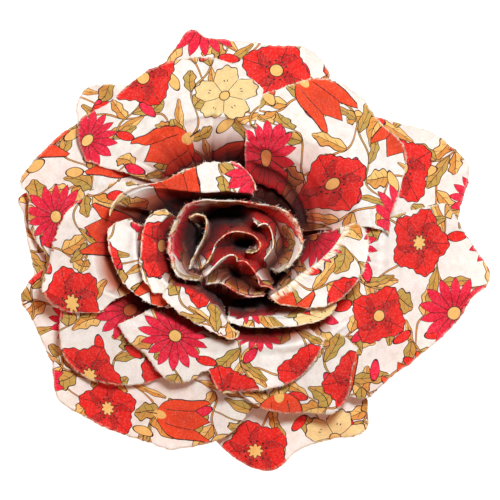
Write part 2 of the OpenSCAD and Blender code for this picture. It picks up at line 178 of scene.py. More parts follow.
# Strength of the folds that run out along a petal and of those that run round the flower
FOLD = {"usual": (1.0, 0.4), "upper_right": (0.4, 2.0), "upper_left": (2.2, 0.3), "mid_right": (0.8, 1.0),
        "mid_top": (0.6, 1.0), "front_lip": (1.0, 1.2), "right_big": (0.8, 0.9), "core_side": (3.0, 0.3),
        "core_front": (3.0, 0.2)}
# Folds that sweep round beside the collar: from where, over what width at both sides of the petal, in
# percent of FLOWER_R, how many, and how high
SWEEP = {"upper_right": (25.5, 22, 10, 3, 1.5)}
# Bulge of the cloth at a crest, its half width, and the half width of a frayed rim
CREST_BULGE, CREST_W, RIM_W = 0.3, 0.8, 0.6
# Where the crest of a petal stands up as a rim: its height and lean inwards, and above which height it
# is frayed
RIM = {"mid_right": (1.4, 1.6), "mid_left": (0.5, 0.3), "mid_lip": (0.5, 0.4)}
RIM_FRAYS = 1
# Width of the band that is frayed pale along the cut edge, and along the sides
RAW = {"usual": 0.28, "core_collar": 2.0, "core_scroll": 1.5, "core_side": 1.4, "core_under": 1.0}
RAW_SIDE = 0.4
# How pale the frayed edges are, by petal or whorl, where they aren't as pale as the others
PALE = {"core_heart": 0.6, "core_front": 0.5, "core_side": 0.8, "core_under": 0.7, "third": 0.75,
        "lower": 0.7, "second": 0.6, "back": 0.5}
# How far the cut edge is ragged, by whorl, and how far it wanders more slowly
RAGGED = {"usual": 0.24, "second": 0.14, "back": 0.14}
EDGE_WANDER = 0.16
# Seeds of the place and turn of the print on each petal
PRINT = {"mid_top": 3300, "mid_left": 1117, "mid_outer": 3334, "mid_corner": 3351, "mid_right": 2268,
         "mid_lip": 1185, "left_upper": 2302, "left_lower": 2319, "front_lip": 1236, "front_under": 2353,
         "upper_left": 2370, "upper_right": 2387, "right_big": 2404, "far_left": 2421, "lower_left": 2438,
         "back_top": 3555, "back_corner": 2472, "back_left": 2489, "back_lower_left": 3606,
         "back_bottom": 2523, "back_right": 2540, "core_collar": 2557, "core_heart": 4554,
         "core_front": 4223, "core_under": 4059}
# How far below a crest the shade painted between the petals begins and over what depth it deepens, by
# petal or whorl, and over what more the painted shade turns dark
PAINTED_SHADE_FROM = {"heart": (1.3, 5), "inner": (0.9, 4), "outer": (0.7, 4), "third": (0.4, 3.4),
         "lower": (0.4, 3.4), "second": (3, 9), "back": (8, 9), "upper_right": (0, 14),
         "core_collar": (1.6, 6), "mid_right": (2.5, 9)}
PAINTED_DARK_OVER = 5
# Threads for each millimetre of cut edge, and length of the longest
THREADS = {"petal": (2.0, 0.4), "heart": (3.0, 0.45), "core_front": (1.6, 0.35),
           "core_heart": (1.6, 0.35), "core_side": (2.0, 0.4), "core_collar": (8.0, 0.9),
           "core_scroll": (6.0, 0.7), "mid_right": (4.0, 0.6), "core_under": (6.0, 0.7),
           "heart_gathers": (0.2, 0.2)}
# Deep places of the heart: place and half size as percent of FLOWER_R, and depth
HOLES = ((-19.5, 8, 4.2, 10, 16), (4, 0.6, 4.4, 2.6, 12), (18, -12, 4, 4, 8), (-1, 12, 9, 2.6, 4))
# Radius of the cloth gathered in the heart, its lowest level, and the size of its grid
GATHER_R, GATHER_Z, GATHER_GRID = 12.0, 12.0, 71

# ---- shapes ----------------------------------------------------------------------------------


def along(t, rows):
    """Smooth interpolation through the rows of a table at t from 0 to 1."""
    rows = np.asarray(rows, float)
    t = np.asarray(t, float)
    last = len(rows) - 1
    i = np.minimum(np.floor(t * last).astype(int), last - 1)
    s = (t * last - i)[..., None]
    padded = np.vstack([2 * rows[0] - rows[1], rows, 2 * rows[-1] - rows[-2]])
    a, b, c, d = padded[i], padded[i + 1], padded[i + 2], padded[i + 3]
    return 0.5 * (2 * b + (c - a) * s + (2 * a - 5 * b + 4 * c - d) * s**2 + (3 * b - 3 * c + d - a) * s**3)


def mix(a, b, t):
    return a + (b - a) * t


def unit(v):
    return v / np.linalg.norm(v, axis=-1, keepdims=True)


def ramp(x):
    return np.clip(x, 0, 1)


def step_lengths(p, axis=0):
    return np.linalg.norm(np.diff(p, axis=axis), axis=-1)


def fall(r):
    """How far a crest at radius r lies below one on the axis."""
    return DROOP_H / 2 * (1 - np.cos(np.pi * np.minimum(r / DROOP_R, 1) ** DROOP_POWER))


def petal_surface(row, u, v):
    """Points of a petal's middle surface, v running from its foot to its edge, and its lip share."""
    whorl, rise_a, rise_b, az_a, az_b, sections = row
    base = WHORL[whorl][0] * FELT_R
    section = along(u, sections)
    crest = section[..., 1] / 100 * FLOWER_R
    edge = section[..., 2] / 100 * FLOWER_R
    # upper_right stands low among the inner whorl and keeps its corners
    if whorl in ("inner", "outer") and rise_a > -0.1:
        corner = 1 - ramp(np.minimum(u, 1 - u) / CORNER)
        edge = mix(crest, edge, np.sqrt(1 - CORNER_CUT * corner**2))
    resting = fall(max(s[2] for s in sections) / 100 * FLOWER_R) + PETAL_T / 2 if whorl == "back" else 0
    top = FLOWER_H * (WHORL[whorl][1] + mix(rise_a, rise_b, u)) + resting
    s = np.minimum(v / SPLIT, 1)
    lip = np.maximum((v - SPLIT) / (1 - SPLIT), 0)
    left = (1 - s) ** 0.7
    r = np.where(v < SPLIT, crest - (crest - base) * left, mix(crest, edge, lip))
    # 9.5 brings the peak of what it multiplies to 1
    wall = (top - fall(base) - BASE_Z) * left**WALL_POWER + WALL_DIP * 9.5 * left * (1 - left) ** 3
    azimuth = np.radians(mix(mix(az_a, az_b, u), section[..., 0], v**0.8))
    lift = np.maximum(section[..., 3], 0) / 100 * FLOWER_R * lip**2
    return np.stack([r * np.cos(azimuth), r * np.sin(azimuth), top - fall(r) - wall + lift], -1), lip


def core_surface(row, u, v):
    """Points of a heart petal's middle surface, and its lip share."""
    top_a, top_b, rows = row
    place = along(u, rows) / 100
    rim, seat = place[..., :2] * FLOWER_R, place[..., 3:] * FELT_R
    lip_v = np.maximum((v - LIP_START) / (1 - LIP_START), 0)
    lip = np.maximum(place[..., 2], 0) * FLOWER_R * lip_v**2
    level = mix(seat, rim, (v**CORE_BOW)[..., None]) + unit(rim) * lip[..., None]
    height = mix(BASE_Z, FLOWER_H * mix(top_a, top_b, u), v) - lip / 2
    return np.concatenate([level, height[..., None]], -1), lip_v


def noise(x, y, seed):
    """Smooth random field of unit wavelength, about -1 to 1."""
    table = np.random.default_rng(seed).uniform(-1, 1, (64, 64))
    xi, yi = np.floor(x).astype(int), np.floor(y).astype(int)
    fx, fy = x - xi, y - yi
    fx, fy = fx * fx * (3 - 2 * fx), fy * fy * (3 - 2 * fy)
    a, b = table[xi % 64, yi % 64], table[(xi + 1) % 64, yi % 64]
    c, d = table[xi % 64, (yi + 1) % 64], table[(xi + 1) % 64, (yi + 1) % 64]
    return mix(mix(a, b, fx), mix(c, d, fx), fy)


def even(surface, row, along_u, count):
    """Values of v that are evenly far apart on the sheet, and its length from foot to edge."""
    v = np.linspace(0, 1, 400)
    total = np.zeros(400)
    for u in along_u:
        p, _ = surface(row, np.full(400, u), v)
        total[1:] += step_lengths(p)
    total = np.cumsum(total) / len(along_u)
    return np.interp(np.linspace(0, total[-1], count), total, v), total[-1]


def grid_of(surface, row, step):
    """Values of u and v for a grid whose cells are about as large as step."""
    sample = np.linspace(0.1, 0.9, 5)
    _, length = even(surface, row, sample, 2)
    v, _ = even(surface, row, sample, max(int(length / step), 12) + 1)
    probe, _ = surface(row, np.linspace(0, 1, 200), np.full(200, 0.95))
    columns = max(int(step_lengths(probe).sum() / step), 16)
    return np.meshgrid(np.linspace(0, 1, columns + 1), v, indexing="ij")


def arcs(p):
    """Lengths over a grid of points in both directions: from its first side, and from its foot."""
    across = np.cumsum(np.r_[np.zeros((1, p.shape[1])), step_lengths(p)], 0)
    up = np.cumsum(np.c_[np.zeros(p.shape[0]), step_lengths(p, 1)], 1)
    return across, up


def area_of(p):
    """Area of a grid of points."""
    cell = np.cross(p[1:, :-1] - p[:-1, :-1], p[:-1, 1:] - p[:-1, :-1])
    return float(np.linalg.norm(cell, axis=-1).sum())


def normals(p):
    du, dv = np.gradient(p, axis=0), np.gradient(p, axis=1)
    n = np.cross(du, dv)
    return n / np.maximum(np.linalg.norm(n, axis=-1, keepdims=True), 1e-9)


def fan_cut(p, up, crest):
    """Flat coordinates of a petal: a fan round the axis."""
    reach = np.hypot(p[:, crest, 0], p[:, crest, 1])[:, None] / FAN
    s = up - up[:, crest:crest + 1]
    radius = np.where(s < 0, reach * np.exp(np.minimum(s, 0) / reach), reach + s)
    angle = np.unwrap(np.arctan2(p[:, -1, 1], p[:, -1, 0]))[:, None] * FAN
    return np.stack([radius * np.cos(angle), radius * np.sin(angle)], -1)


def band_cut(across, up):
    """Flat coordinates of a heart petal: a band."""
    return np.stack([np.broadcast_to(across.mean(1, keepdims=True), up.shape), up], -1)


def add_object(name, data):
    obj = bpy.data.objects.new(name, data)
    scene.collection.objects.link(obj)
    return obj


def mesh_object(name, points, faces, uvs, values):
    """A smooth mesh with flat coordinates and named values at its points."""
    mesh = bpy.data.meshes.new(name)
    mesh.from_pydata((points * MM).tolist(), [], faces)
    layer = mesh.uv_layers.new(name="cloth")
    index = np.empty(len(mesh.loops), np.int32)
    mesh.loops.foreach_get("vertex_index", index)
    layer.uv.foreach_set("vector", uvs[index].astype(np.float32).ravel())
    for key, value in values.items():
        mesh.attributes.new(key, "FLOAT", "POINT").data.foreach_set("value", value.astype(np.float32))
    mesh.polygons.foreach_set("use_smooth", np.ones(len(mesh.polygons), bool))
    return add_object(name, mesh)


def closed_sheet(p, thickness):
    """Vertices and faces of a sheet of the given thickness about the grid p, closed all round."""
    nu, nv = p.shape[:2]
    n = normals(p)
    both = np.concatenate([(p + n * thickness / 2).reshape(-1, 3), (p - n * thickness / 2).reshape(-1, 3)])
    index = np.arange(nu * nv).reshape(nu, nv)
    a, b, c, d = index[:-1, :-1], index[:-1, 1:], index[1:, 1:], index[1:, :-1]
    top = np.stack([a, d, c, b], -1).reshape(-1, 4)
    under = np.stack([a, b, c, d], -1).reshape(-1, 4) + nu * nv
    rim = np.concatenate([index[:, 0], index[-1, 1:], index[-2::-1, -1], index[0, -2:0:-1]])
    after = np.roll(rim, -1)
    side = np.stack([rim, rim + nu * nv, after + nu * nv, after], -1)
    return both, np.concatenate([top, under, side]).tolist()


# ---- materials -------------------------------------------------------------------------------


class Value:
    """A number worked out by shader nodes: arithmetic on it adds nodes to its tree."""

    def __init__(self, tree, socket):
        self.tree, self.socket = tree, socket

    def op(self, kind, *others):
        node = self.tree.nodes.new("ShaderNodeMath")
        node.operation = kind
        for slot, x in enumerate((self,) + others):
            put(self.tree, node, slot, x)
        return Value(self.tree, node.outputs[0])

    def __add__(self, x): return self.op("ADD", x)
    def __sub__(self, x): return self.op("SUBTRACT", x)
    def __mul__(self, x): return self.op("MULTIPLY", x)
    def __truediv__(self, x): return self.op("DIVIDE", x)
    def __mod__(self, x): return self.op("FLOORED_MODULO", x)
    def __pow__(self, x): return self.op("POWER", x)
    def __neg__(self): return self.op("MULTIPLY", -1)
    def __radd__(self, x): return self.op("ADD", x)
    def __rmul__(self, x): return self.op("MULTIPLY", x)
    def __rsub__(self, x): return (-self).op("ADD", x)
    def __lt__(self, x): return self.op("LESS_THAN", x)
    def __gt__(self, x): return self.op("GREATER_THAN", x)
    def __or__(self, x): return self.op("MAXIMUM", x)
    def __and__(self, x): return self.op("MINIMUM", x)
    def __abs__(self): return self.op("ABSOLUTE")
    def sin(self): return self.op("SINE")
    def cos(self): return self.op("COSINE")
    def sqrt(self): return self.op("SQRT")
    def floor(self): return self.op("FLOOR")
    def near(self, x, within): return self.op("COMPARE", x, within)
    def zigzag(self, high): return self.op("PINGPONG", high)


def put(tree, node, slot, x):
    """Links a node's input to a value or socket, or sets it to a number or colour."""
    if isinstance(x, Value):
        x = x.socket
    if isinstance(x, bpy.types.NodeSocket):
        tree.links.new(x, node.inputs[slot])
    else:
        node.inputs[slot].default_value = x


def random_of(tree, x, y, seed):
    """A random number for each pair of whole numbers x and y."""
    place = tree.nodes.new("ShaderNodeCombineXYZ")
    for slot, value in enumerate((x, y, seed)):
        put(tree, place, slot, value)
    node = tree.nodes.new("ShaderNodeTexWhiteNoise")
    node.noise_dimensions = "3D"
    put(tree, node, "Vector", place.outputs[0])
    return Value(tree, node.outputs["Value"])


def noise_of(tree, vector, scale, detail=1.0, stretch=(1, 1)):
    scaled = tree.nodes.new("ShaderNodeVectorMath")
    scaled.operation = "MULTIPLY"
    put(tree, scaled, 0, vector)
    put(tree, scaled, 1, (stretch[0] * scale, stretch[1] * scale, 1))
    node = tree.nodes.new("ShaderNodeTexNoise")
    node.noise_dimensions = "2D"
    put(tree, node, "Scale", 1)
    put(tree, node, "Detail", detail)
    put(tree, node, "Vector", scaled.outputs[0])
    return Value(tree, node.outputs["Fac"])


def blend(tree, a, b, factor, kind="MIX"):
    node = tree.nodes.new("ShaderNodeMix")
    node.data_type = "RGBA"
    node.blend_type = kind
    for slot, x in ((0, factor), (6, a), (7, b)):
        put(tree, node, slot, x)
    return node.outputs[2]


def rgb(text):
    """Linear colour from an sRGB hex text."""
    c = np.array([int(text[i:i + 2], 16) for i in (0, 2, 4)]) / 255
    return tuple(float(x) for x in np.where(c <= 0.04045, c / 12.92, ((c + 0.055) / 1.055) ** 2.4)) + (1,)


# Colours of the print
GROUND, CRIMSON, SCARLET, ORANGE = rgb("f3ede8"), rgb("f01a48"), rgb("ee2418"), rgb("f6521c")
OCHRE, GOLD, OLIVE = rgb("dfa04c"), rgb("f2c678"), rgb("bea452")
CREAM, LINE, DEEP = rgb("f0d69c"), rgb("3a130a"), rgb("7d0910")
# Colours that the print is multiplied by: its wash, its dark specks, the gaps between the threads, and
# the shade painted between the petals, first warm and then dark
WASH, SPECK, GAP = rgb("c9bba6"), rgb("7a5a3c"), rgb("6b4a3c")
PAINTED_SHADE_WARM, PAINTED_SHADE_DARK = rgb("b05a34"), rgb("7a3018")
# Colours of the unprinted side and of frayed threads, pale and tan
WRONG_SIDE, FRAYED, FRAYED_TAN = rgb("ece2d2"), rgb("f6eedd"), rgb("e0b26c")

# Grid of the blooms and of the buds, how far they stray in it, and their sizes; then the half width of
# a printed line as a share of a bloom's radius
CELL_W, CELL_H, STRAY, BLOOM_R = 19.8, 17.4, 1.4, 9.3
BUD_CELL_W, BUD_CELL_H, BUD_STRAY, BUD_W, BUD_L = 9.5, 8.5, 2.6, 1.25, 2.5
LINE_W = 0.014
# Radius of the eyes of a daisy and of a cream flower, as a share of the bloom's
DAISY_EYE, CREAM_EYE = 0.19, 0.15
# Distance between threads
THREAD = 0.3
# The two leaves of a stem: where they start along it, their side, angle, length and half width
LEAVES = ((-4.6, 1, 0.8, 9.0, 1.8), (-1.2, -1, 0.65, 6.4, 1.45))
# Distance between stems, their half width, and the half width of the lines along stems and leaves
STEM_GAP, STEM_W, STEM_LINE = 16.0, 0.22, 0.07


def staggered(tree, x, y, width, height, seed, jitter):
    """Local coordinates in a staggered grid of cells, with a random place and turn, and the cell."""
    row = (y / height).floor()
    shifted = x + (row % 2) * (width / 2)
    column = (shifted / width).floor()
    turn = random_of(tree, column, row, seed) * math.tau
    lx = shifted - (column + 0.5) * width - (random_of(tree, column, row, seed + 1) - 0.5) * jitter
    ly = y - (row + 0.5) * height - (random_of(tree, column, row, seed + 2) - 0.5) * jitter
    c, s = turn.cos(), turn.sin()
    return lx * c + ly * s, ly * c - lx * s, column, row


def leaf_at(along_leaf, across_leaf, length, width):
    """Inside measure of a lobed leaf, positive within it, and its veins."""
    t = along_leaf / length
    body = ((t * (1 - t) | 0) * 4).sqrt()
    half = body * (0.85 + 0.15 * (t * 15 + 2.4).cos()) * width
    inside = half - abs(across_leaf)
    vein = ((along_leaf - abs(across_leaf) * 1.3) / 2.3).zigzag(0.5)
    return inside, (abs(across_leaf) < STEM_LINE) | ((vein < 0.03) & (abs(across_leaf) < half * 0.62))


def vines(x, y, turn, pitch, phase):
    """Wavy stems with lobed leaves to both sides: masks of leaf, of its light half, and of lines."""
    c, s = math.cos(turn), math.sin(turn)
    run = x * c + y * s
    # a long wave and a short one bend the stems, and each stem's leaves start further along it
    side = y * c - x * s + 2.6 * (run * (math.tau / 31) + phase).sin() + 1.1 * (run * (math.tau / 13)).sin()
    band = (side / STEM_GAP).floor()
    off = side - (band + 0.5) * STEM_GAP
    run = run + band * 7.3
    cell = (run / pitch).floor()
    run = run - (cell + 0.5) * pitch
    off = off * (1 - 2 * (cell % 2))
    masks = []
    for start, flip, angle, length, width in LEAVES:
        dx, dy = run - start, off * flip
        ca, sa = math.cos(angle), math.sin(angle)
        u, v = dx * ca + dy * sa, dy * ca - dx * sa
        inside, veins = leaf_at(u, v, length, width)
        here = inside > 0
        outline = (abs(inside) < 0.1) & ((u > 0) & (u < length))
        masks.append((here, here & (v > 0), outline | veins & here))
    leaf, light, line = (a | b for a, b in zip(*masks))
    stem = abs(off)
    line = line | ((abs(stem - STEM_W) < STEM_LINE) & (leaf < 0.5))
    return leaf | (stem < STEM_W), light, line


def daisy_at(theta, rho):
    """Narrow pointed petals round an eye: masks of the bloom, its lines and its eye."""
    ray = (theta * (15 / math.tau)).zigzag(0.5) * 2
    edge = 0.66 + 0.38 * (1 - ray) ** 0.75 + 0.05 * (theta * 3 + 1).cos()
    bloom = rho < edge
    lines = (abs(rho - edge) < LINE_W) | (((1 - ray) * rho < LINE_W * 3.2) & (rho > 0.2) & bloom)
    return bloom, lines | (abs(rho - DAISY_EYE) < LINE_W), rho < DAISY_EYE


def poppy_at(theta, rho, kind):
    """Broad scalloped lobes with curved folds: masks of the bloom, its lines, its eye and its folds."""
    scallop = 0.022 * (theta * 20 + 1).cos()
    lobes = theta * (5 - kind.near(4, 0.5))
    edge = 0.87 + 0.1 * lobes.cos() + scallop
    bloom = rho < edge
    fold = abs((lobes * 0.5).sin()) * rho
    lines = (abs(rho - edge) < LINE_W) | ((fold < LINE_W * 1.4) & (rho > 0.36) & bloom)
    curl_at = 0.58 + 0.15 * (lobes + 2.2).cos() + scallop
    curl_on = (lobes + 0.6).cos() > -0.1
    lines = lines | ((abs(rho - curl_at) < LINE_W * 0.8) & curl_on)
    star = 0.19 + 0.04 * (theta * 8).cos() * kind.near(6, 0.5)
    stamens = (abs(rho - 0.3) < 0.022) & ((theta * 11).cos() > 0.35)
    return bloom, lines | (abs(rho - star) < LINE_W) | stamens, rho < star, (rho < curl_at) & curl_on


def tulip_at(x, y):
    """A cup with pointed lobes and curved inner lines: masks of the bloom, its lines and its calyx."""
    tooth = (x * 1.5 + 0.5).zigzag(0.5) * 2
    cup = (1 - ((y + 0.1) & 0) ** 2 * 1.7 | 0).sqrt() * 0.66 + (y | 0) * 0.12
    inside = (0.3 + 0.46 * tooth - y) & (cup - abs(x))
    bloom = inside > 0
    vein = abs(abs(x) - 0.3 - 0.12 * y)
    lines = (abs(inside) < LINE_W * 1.3) | ((vein < LINE_W * 0.8) & (y > -0.6) & (y < 0.34)) & bloom
    return bloom, lines, (x * x * 2.2 + (y + 0.78) * (y + 0.78)) < 0.045


def cream_at(theta, rho):
    """Five round petals with dots: masks of the bloom, its lines and its eye."""
    lobe = abs((theta * 2.5).cos())
    edge = 0.42 + 0.48 * lobe**0.45 + 0.03 * (theta * 20).cos()
    bloom = rho < edge
    lines = (abs(rho - edge) < LINE_W * 1.1) | ((lobe * rho * 0.4 < LINE_W * 0.6) & (rho > 0.16) & bloom)
    dots = (abs(rho - 0.47) < 0.03) & (abs(abs((theta * 5).sin()) - 0.45) < 0.12) & ((theta * 5).cos() > 0)
    return bloom, lines | dots | (abs(rho - CREAM_EYE) < LINE_W), rho < CREAM_EYE


def flat_place(tree, vector):
    """The two flat coordinates of the cloth."""
    split = tree.nodes.new("ShaderNodeSeparateXYZ")
    put(tree, split, 0, vector)
    return Value(tree, split.outputs[0]), Value(tree, split.outputs[1])


def print_colour(tree, vector):
    """A dense print of daisies, poppies, tulips and cream flowers over wavy stems with lobed leaves."""
    x, y = flat_place(tree, vector)

    # stems and leaves, in two layers
    leaf, light, line = vines(x + 5.0, y, 1.9, 12.4, 1.3)
    colour = blend(tree, blend(tree, GROUND, OCHRE, leaf), GOLD, light)
    colour = blend(tree, colour, LINE, line)
    leaf, light, line = vines(x, y, 0.35, 11.6, 0.0)
    colour = blend(tree, blend(tree, colour, OCHRE, leaf), OLIVE, leaf * 0.6 + light * 0.4)
    colour = blend(tree, colour, LINE, line)

    # buds: small pointed ovals between the flowers
    lx, ly, column, row = staggered(tree, x, y, BUD_CELL_W, BUD_CELL_H, 11.0, BUD_STRAY)
    inside = 1 - ((lx / BUD_W) ** 2 + (abs(ly) / BUD_L) ** 1.5)
    some = random_of(tree, column, row, 17.0)
    bud = blend(tree, GOLD, blend(tree, SCARLET, CRIMSON, some < 0.18), some < 0.36)
    colour = blend(tree, colour, bud, (some < 0.5) & (inside > 0))
    colour = blend(tree, colour, LINE, (some < 0.5) & (abs(inside) < 0.12))

    # flowers: the kind goes by the place in the grid
    lx, ly, column, row = staggered(tree, x, y, CELL_W, CELL_H, 3.0, STRAY)
    theta = ly.op("ARCTAN2", lx)
    kind = (column + row * 3) % 7
    swell = 1.02 + 0.2 * random_of(tree, column, row, 7.0) + 0.2 * kind.near(3, 0.5)
    rho = (lx * lx + ly * ly).sqrt() * swell / BLOOM_R
    daisy, daisy_line, daisy_eye = daisy_at(theta, rho)
    poppy, poppy_line, poppy_eye, poppy_fold = poppy_at(theta, rho, kind)
    tulip, tulip_line, calyx = tulip_at(lx * swell / BLOOM_R, ly * swell / BLOOM_R)
    cream, cream_line, cream_eye = cream_at(theta, rho)
    is_daisy, is_tulip = kind.near(0, 0.5) | kind.near(3, 0.5), kind.near(1, 0.5) | kind.near(5, 0.5)
    is_cream, is_poppy = kind.near(2, 0.5), kind.near(4, 0.5) | (kind > 5.5)
    bloom = is_daisy * daisy + is_poppy * poppy + is_tulip * tulip + is_cream * cream
    outline = is_daisy * daisy_line + is_poppy * poppy_line + is_tulip * tulip_line + is_cream * cream_line
    eye = is_daisy * daisy_eye + is_poppy * poppy_eye + is_tulip * calyx + is_cream * cream_eye
    red = blend(tree, blend(tree, CRIMSON, SCARLET, is_poppy), ORANGE, is_tulip)
    red = blend(tree, red, DEEP, is_poppy * poppy_fold * 0.4)
    petals = blend(tree, red, CREAM, is_cream)
    petals = blend(tree, petals, DEEP, (1 - rho | 0) * 0.4 * (1 - is_cream))
    colour = blend(tree, colour, petals, bloom & 1)
    colour = blend(tree, colour, GOLD, eye)
    colour = blend(tree, colour, LINE, outline & 1)
    wash = noise_of(tree, vector, 0.5, 2)
    return blend(tree, colour, WASH, (wash - 0.35 | 0) * 0.5, "MULTIPLY")


def new_material(name, **sockets):
    material = bpy.data.materials.new(name)
    material.use_nodes = True
    tree = material.node_tree
    shader = tree.nodes["Principled BSDF"]
    for key, value in sockets.items():
        put(tree, shader, key.replace("_", " "), value)
    return material, tree, shader


def bump_of(tree, shader, height, distance, strength=1.0):
    node = tree.nodes.new("ShaderNodeBump")
    put(tree, node, "Strength", strength)
    put(tree, node, "Distance", distance)
    put(tree, node, "Height", height)
    put(tree, shader, "Normal", node.outputs[0])


def attribute(tree, name):
    node = tree.nodes.new("ShaderNodeAttribute")
    node.attribute_name = name
    return Value(tree, node.outputs["Fac"])


def cotton_material():
    """Printed cotton with its weave, specks and slubs, frayed edges, and shade painted between the petals.
    """
    material, tree, shader = new_material("printed_cotton", Sheen_Weight=0.05, Subsurface_Weight=0.25,
                                          Subsurface_Scale=0.001, Subsurface_Radius=(1.4, 0.4, 0.25))
    cloth = tree.nodes.new("ShaderNodeUVMap")
    cloth.uv_map = "cloth"
    vector = cloth.outputs[0]
    colour = print_colour(tree, vector)

    x, y = flat_place(tree, vector)
    column, row = (x / THREAD).floor(), (y / THREAD).floor()
    over = (column + row) % 2
    warp, weft = (abs((q * (math.pi / THREAD)).sin()) for q in (x, y))
    weave = warp * over + weft * (1 - over)
    slub = noise_of(tree, vector, 2.2, 1, (1, 0.12)) + noise_of(tree, vector, 2.2, 1, (0.12, 1))
    speck = random_of(tree, column, row, 29.0)
    colour = blend(tree, colour, GROUND, (speck - 0.6 | 0) * 0.16)
    colour = blend(tree, colour, SPECK, (0.4 - speck | 0) * 0.22, "MULTIPLY")
    colour = blend(tree, colour, GROUND, ((slub - 1.15) * 0.4 | 0) & 0.04)
    colour = blend(tree, colour, GAP, (1 - weave) * 0.24, "MULTIPLY")

    colour = blend(tree, colour, WRONG_SIDE, attribute(tree, "wrong_side") * 0.42)
    frayed = attribute(tree, "raw_edge") * (noise_of(tree, vector, 1.4, 2) * 3.6 - 1.1) & 0.9
    tan = (noise_of(tree, vector, 0.9, 2) * 3.4 - 1.5 | 0) & 0.8
    colour = blend(tree, colour, blend(tree, FRAYED, FRAYED_TAN, tan), frayed | 0)
    # painted shade between the petals: the depth attribute darkens the colour warm up to 1, then dark up to
    # 2
    depth = attribute(tree, "depth")
    colour = blend(tree, colour, PAINTED_SHADE_WARM, (depth & 1) * 0.95, "MULTIPLY")
    colour = blend(tree, colour, PAINTED_SHADE_DARK, (depth - 1 | 0) & 1, "MULTIPLY")

    put(tree, shader, "Base Color", colour)
    put(tree, shader, "Roughness", 0.86 - weave * 0.12)
    bump_of(tree, shader, weave + slub * 0.7, 0.00005)
    return material


cotton = cotton_material()

# ---- petals ----------------------------------------------------------------------------------

# A loose thread: its rings and the points of one, their angles, its half width at both ends, its least
# length, and how deep in the cloth it starts
RINGS, SIDES = 4, 3
RING_ANGLES = (0, 2.1, 4.2)
ROOT_W, TIP_W = 0.075, 0.03
SHORTEST, ROOTED = 0.25, 0.15

fray_rng = np.random.default_rng(5)


def add_thread(points, faces, start, along_edge, out, up, length):
    """A loose thread: a thin three-sided strand that leaves the cut edge and bends."""
    bend = fray_rng.normal(0, 0.5, 2)
    way = out + along_edge * bend[0] + up * bend[1] * 0.6
    way /= np.linalg.norm(way)
    curl = along_edge * fray_rng.normal(0, 0.5) + up * fray_rng.normal(0, 0.35)
    lift = np.cross(way, along_edge)
    lift /= max(np.linalg.norm(lift), 1e-6)
    first = len(points)
    for k in range(RINGS):
        t = k / (RINGS - 1)
        centre = start + way * length * t + curl * length * t * t
        width = mix(ROOT_W, TIP_W, t)
        for angle in RING_ANGLES:
            points.append(centre + width * (math.cos(angle) * along_edge + math.sin(angle) * lift))
    last = len(points) - SIDES
    for ring in range(first, last, SIDES):
        for j in range(SIDES):
            a, b = ring + j, ring + (j + 1) % SIDES
            faces.append((a, b, b + SIDES, a + SIDES))
    faces += [(first + 2, first + 1, first), (last, last + 1, last + 2)]


def fray(p, uv, density, longest):
    """Threads along a sheet's cut edge and the open part of its sides, and their flat coordinates."""
    points, faces, flat = [], [], []
    half = p.shape[1] // 2
    for line, inside in ((np.s_[:, -1], np.s_[:, -2]), (np.s_[0, half:], np.s_[1, half:]),
                         (np.s_[-1, half:], np.s_[-2, half:])):
        edge, edge_uv = p[line], uv[line]
        out = unit(edge - p[inside])
        tangent = unit(np.gradient(edge, axis=0))
        up = np.cross(out, tangent)
        length = np.r_[0, np.cumsum(step_lengths(edge))]
        for where in np.sort(fray_rng.uniform(0, length[-1], int(length[-1] * density))):
            i = min(int(np.searchsorted(length, where)), len(edge) - 1)
            j = max(i - 1, 0)
            t = (where - length[j]) / max(length[i] - length[j], 1e-6)
            start = mix(edge[j], edge[i], min(max(t, 0), 1)) - out[i] * ROOTED
            start = start + up[i] * fray_rng.uniform(-0.2, 0.2)
            reach = SHORTEST + longest * fray_rng.random() ** 2
            add_thread(points, faces, start, tangent[i], out[i], up[i], reach)
            flat += [edge_uv[i]] * (RINGS * SIDES)
    return np.array(points), faces, np.array(flat)


def make_sheet(name, p, uv, raw, painted_shade, wrong, threads, flat_size, replaced):
    """A piece of cloth about its middle surface p, with loose threads at its cut edge."""
    points, faces = closed_sheet(p, CLOTH_T)
    strands, strand_faces, strand_uv = fray(p, uv, *threads)
    faces += [tuple(i + len(points) for i in f) for f in strand_faces]
    uv, raw, painted_shade = uv.reshape(-1, 2), raw.ravel(), painted_shade.ravel()
    top, under = (1.0, 0.0) if normals(p)[..., 2].mean() < 0 else (0.0, 1.0)
    sides = np.r_[np.full(len(raw), top), np.full(len(raw), under)] * wrong
    pale = np.repeat(fray_rng.uniform(0, 2.2, len(strands) // (RINGS * SIDES)), RINGS * SIDES)
    none = np.zeros(len(strands))
    # the depth attribute carries the painted shade, weaker on the unprinted side
    obj = mesh_object(name + "_cloth", np.r_[points, strands], faces, np.r_[uv, uv, strand_uv],
                      {"raw_edge": np.r_[raw, raw, pale], "wrong_side": np.r_[sides, none],
                       "depth": np.r_[np.r_[painted_shade, painted_shade] * (1 - 0.7 * sides), none]})
    obj.data.materials.append(cotton)
    width, length = flat_size
    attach(obj, "root")
    if replaced:
        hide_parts(name)
    round(min(area_of(p), 0.99 * width * length) * MM * MM, 7)


def small_folds(name, across, up, gather, seed):
    """Heights of a petal's small folds. What its lengths are divided by are the folds' sizes."""
    radial, round_fold = FOLD.get(name, FOLD["usual"])
    mid = across[:, -1:]
    d = SWELL * noise(across / 11 + seed, up / 13, seed)
    d = d + SOFT_OUT * radial * noise(mid / 3.6, up / 22 + seed, seed + 100) * gather
    d = d + SOFT_ROUND * round_fold * noise(across / 30, up / 2.6, seed + 150)
    d = d + RIPPLE * noise(mid / 1.7, up / 9, seed + 200)
    crease = noise(mid / 6.5 + up / 25, up / 45 + seed, seed + 250)
    d = d + CREASE_OUT * radial * (1 - np.abs(crease)) ** 7 * gather
    crease = noise(across / 45 + seed, up / 4.2 + across / 60, seed + 270)
    return d + CREASE_ROUND * round_fold * (1 - np.abs(crease)) ** 5 * gather


